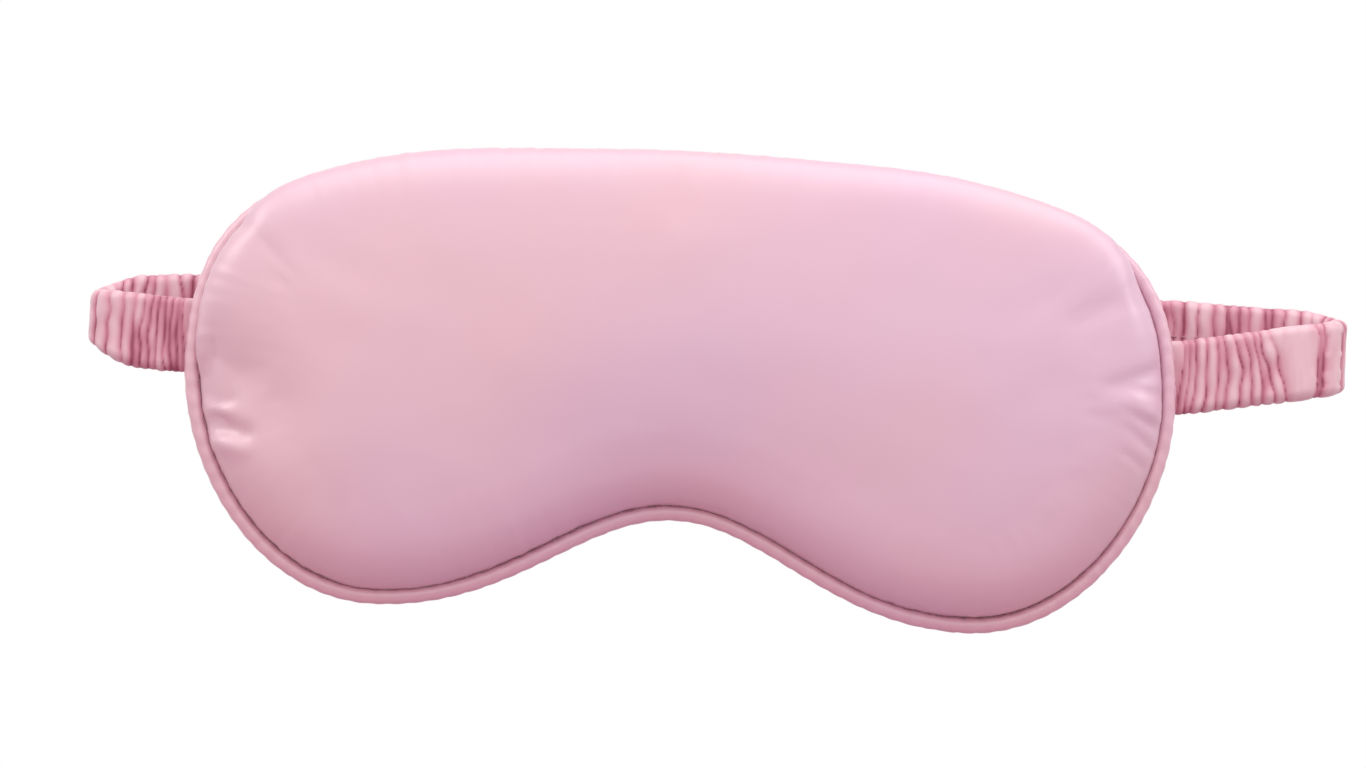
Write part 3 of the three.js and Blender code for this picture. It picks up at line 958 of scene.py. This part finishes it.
def satin(name, colours, roughness, sheen):
    """Polyester satin, woven with long floats: a soft wide gloss, faint streaks along the
    threads, and a slight change of tint where the cloth turns."""
    material, tree, shader, place = new_material(
        name, Sheen_Weight=sheen, Sheen_Roughness=0.35, Sheen_Tint=srgb("#FFEFF4"),
        Specular_IOR_Level=0.9, Coat_Weight=0.55, Coat_Roughness=0.32)
    tint = object_noise(tree, place, 0.055, 1.0)
    ramp = add_ramp(tree, tint.outputs["Fac"], list(zip((0.34, 0.5, 0.66), map(srgb, colours))))
    tree.links.new(ramp.outputs["Color"], shader.inputs["Base Color"])
    # Threads are 0.1 mm apart: drawn 0.45 mm apart, so that the streaks show.
    threads = object_noise(tree, stretched(tree, place, (0.08, 1, 1)), 0.45 * MM, 1.0)
    limits = {"To Min": roughness - 0.04, "To Max": roughness + 0.05}
    gloss = add_node(tree, "ShaderNodeMapRange", None, limits, {"Value": threads.outputs["Fac"]})
    tree.links.new(gloss.outputs["Result"], shader.inputs["Roughness"])
    add_bump(tree, shader, threads.outputs["Fac"], 0.04 * MM, 0.12)
    return material


def satin_with_painted_fold_shading(name):
    """The same satin on the gathered strap, with painted shade and light: the base colour follows the fold
    height, a deeper pink in the creases as painted shade and lighter on the folds as a painted highlight.
    """
    material, tree, shader, place = new_material(
        name, Sheen_Weight=0.3, Sheen_Roughness=0.4, Sheen_Tint=srgb("#FFE4EC"), Roughness=0.4)
    fold = add_node(tree, "ShaderNodeAttribute", {"attribute_name": "fold"})
    patches = object_noise(tree, stretched(tree, place, (1, 1, 0.3)), 4 * MM, 1.0)
    limits = {"From Min": 0.25, "From Max": 0.75, "To Min": -0.42, "To Max": 0.26}
    uneven = add_node(tree, "ShaderNodeMapRange", None, limits, {"Value": patches.outputs["Fac"]})
    height = add_node(tree, "ShaderNodeMath", {"operation": "ADD"},
                      links={0: fold.outputs["Fac"], 1: uneven.outputs["Result"]})
    # Painted shade and light: the darkest rose sits in the creases (fold 0) and the lightest pink on the
    # fold crests (fold 1).
    stops = [(0.0, "#9E4A62"), (0.3, "#C87C91"), (0.65, "#D89DAC"), (1.0, "#E2B9C3")]
    ramp = add_ramp(tree, height.outputs["Value"], [(p, srgb(c)) for p, c in stops])
    tree.links.new(ramp.outputs["Color"], shader.inputs["Base Color"])
    threads = object_noise(tree, stretched(tree, place, (1, 1, 0.15)), 0.5 * MM, 2.0)
    add_bump(tree, shader, threads.outputs["Fac"], 0.08 * MM, 0.25)
    return material


def thread(name):
    """Spun polyester thread: matt, with the twist of its plies."""
    material, tree, shader, place = new_material(name, Roughness=0.6, Sheen_Weight=0.2)
    twist = object_noise(tree, place, 0.25 * MM, 1.0)
    ramp = add_ramp(tree, twist.outputs["Fac"], [(0.35, srgb("#A9697E")), (0.65, srgb("#C58A9C"))])
    tree.links.new(ramp.outputs["Color"], shader.inputs["Base Color"])
    add_bump(tree, shader, twist.outputs["Fac"], 0.08 * MM, 0.4)
    return material


def inner_cloth(name, dark, light, size, roughness, scale=(1, 1, 1)):
    """A matt inner material: two close tones in the size of its fibres or loops."""
    material, tree, shader, place = new_material(name, Roughness=roughness)
    grain = object_noise(tree, stretched(tree, place, scale), size, 3.0)
    ramp = add_ramp(tree, grain.outputs["Fac"], [(0.35, srgb(dark)), (0.65, srgb(light))])
    tree.links.new(ramp.outputs["Color"], shader.inputs["Base Color"])
    add_bump(tree, shader, grain.outputs["Fac"], 0.2 * MM, 0.5)
    return material


def set_material(piece, material):
    piece.data.materials.clear()
    piece.data.materials.append(material)


# ---- The mask ----

make_camera()
make_studio()

panel_satin = satin("woven_panel_satin", ("#DEB1BC", "#DCB0C0", "#DAB0C5"), roughness=0.38, sheen=0.4)
bias_satin = satin("bias_cut_piping_satin", ("#E2B1BD", "#E0AFBD", "#DFAFC1"), roughness=0.32, sheen=0.45)
strap_satin = satin_with_painted_fold_shading("gathered_strap_satin_painted_shading")
rose_thread = thread("rose_polyester_thread")
wadding = inner_cloth("polyester_wadding", "#E9E4DF", "#F8F6F3", 2 * MM, 0.95)
blackout = inner_cloth("woven_blackout_cloth", "#1D1B20", "#2E2B33", 0.6 * MM, 0.9)
cord_cotton = inner_cloth("twisted_cotton_cord", "#DDD2CC", "#F4ECE7", 0.8 * MM, 0.9)
elastic_knit = inner_cloth("knitted_elastic", "#DCD3D3", "#F7F1F1", 0.9 * MM, 0.8, (0.4, 1, 2))

front = make_front()
shape_front(front)
set_material(front, panel_satin)
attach(front, "mask")
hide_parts("front_panel")

back = make_back()
shape_back(back)
set_material(back, panel_satin)
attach(back, "mask")
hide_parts("back_panel")

piping = make_piping()
set_material(piping, bias_satin)
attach(piping, "mask")
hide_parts("piping_cover")

seams = ((make_edge_stitches(), "edge_seam_thread"), (make_gap_stitches(), "turning_gap_stitch"))
for stitches, node in seams:
    set_material(stitches, rose_thread)
    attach(stitches, "mask")
    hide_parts(node)

for loop, gathers, seed in ((RIGHT_LOOP, RIGHT_GATHERS, 11), (LEFT_LOOP, LEFT_GATHERS, 23)):
    cover = make_strap_cover(loop, gathers, seed)
    set_material(cover, strap_satin)
    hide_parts("strap_cover")
    across_joint(cover)
    elastic = make_elastic(loop)
    set_material(elastic, elastic_knit)
    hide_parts("strap_elastic")
    across_joint(elastic)
    stitches = make_strap_stitches(loop)
    set_material(stitches, rose_thread)
    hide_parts("strap_cover_seam")
    across_joint(stitches)

for name, node, side in (("front_filling", "front_wadding", -1), ("face_side_filling", "back_wadding", 1)):
    filling = make_filling(name, node, side)
    set_material(filling, wadding)
    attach(filling, "mask")
    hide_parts(node)

inner = {"blackout_liner": blackout, "piping_cord": cord_cotton}
for node, material in inner.items():
    set_material(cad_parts[node], material)
